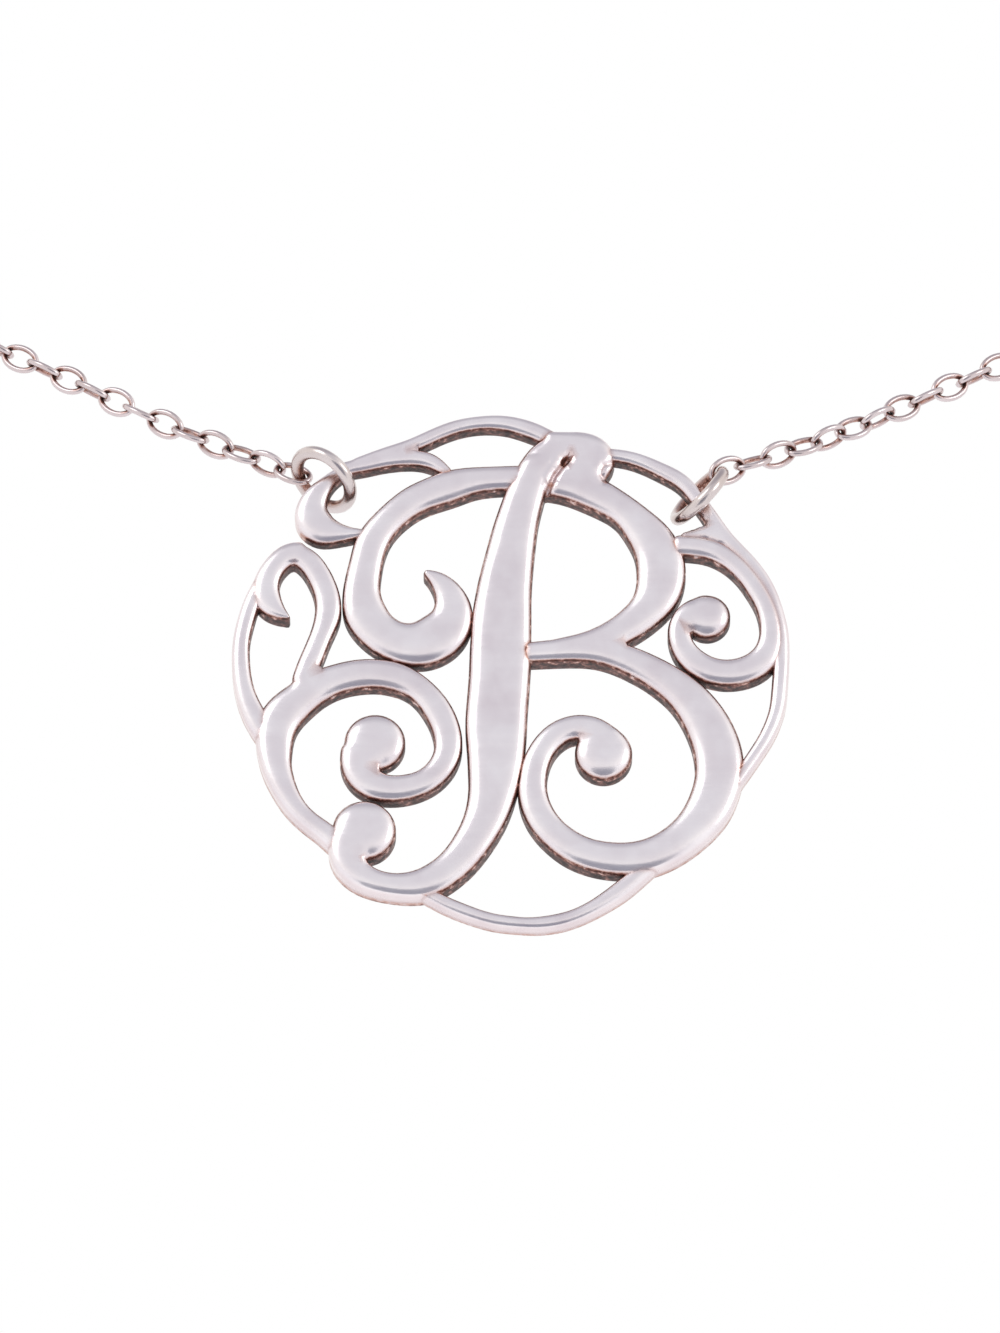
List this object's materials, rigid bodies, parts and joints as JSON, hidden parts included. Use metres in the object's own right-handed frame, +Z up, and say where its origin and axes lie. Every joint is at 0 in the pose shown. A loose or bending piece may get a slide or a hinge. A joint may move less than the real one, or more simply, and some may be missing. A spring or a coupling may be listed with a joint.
{
  "type": "initial pendant necklace",
  "caption": "Scrolled openwork initial pendant in silver, hanging by its two ends from a fine cable chain with jump rings and a spring clasp.",
  "frame": {"origin": "middle of the clasp, at the nape of the neck that wears the necklace", "axes": "+Z up, -Y the way the pendant faces, +X to the right of someone looking at the pendant"},
  "size_m": [0.1196, 0.1121, 0.1199],
  "materials": {
    "pendant_silver": "polished sterling silver, tarnished brown in the recesses",
    "chain_silver": "polished sterling silver",
    "ring_silver": "polished sterling silver, a little dulled"
  },
  "bodies": {
    "necklace": {"left_jump_ring": "ring_silver", "right_jump_ring": "ring_silver", "left_chain": "chain_silver", "right_chain": "chain_silver", "clasp": "ring_silver", "end_ring": "ring_silver"},
    "pendant": {"initial_pendant": "pendant_silver"}
  },
  "joints": [
    {"name": "pendant_swing", "type": "hinge", "parent": "necklace", "child": "pendant", "pos_m": [0.0002, -0.108, -0.0899], "axis": [0.9988, 0, -0.048], "range_deg": [-25, 25]}
  ]
}
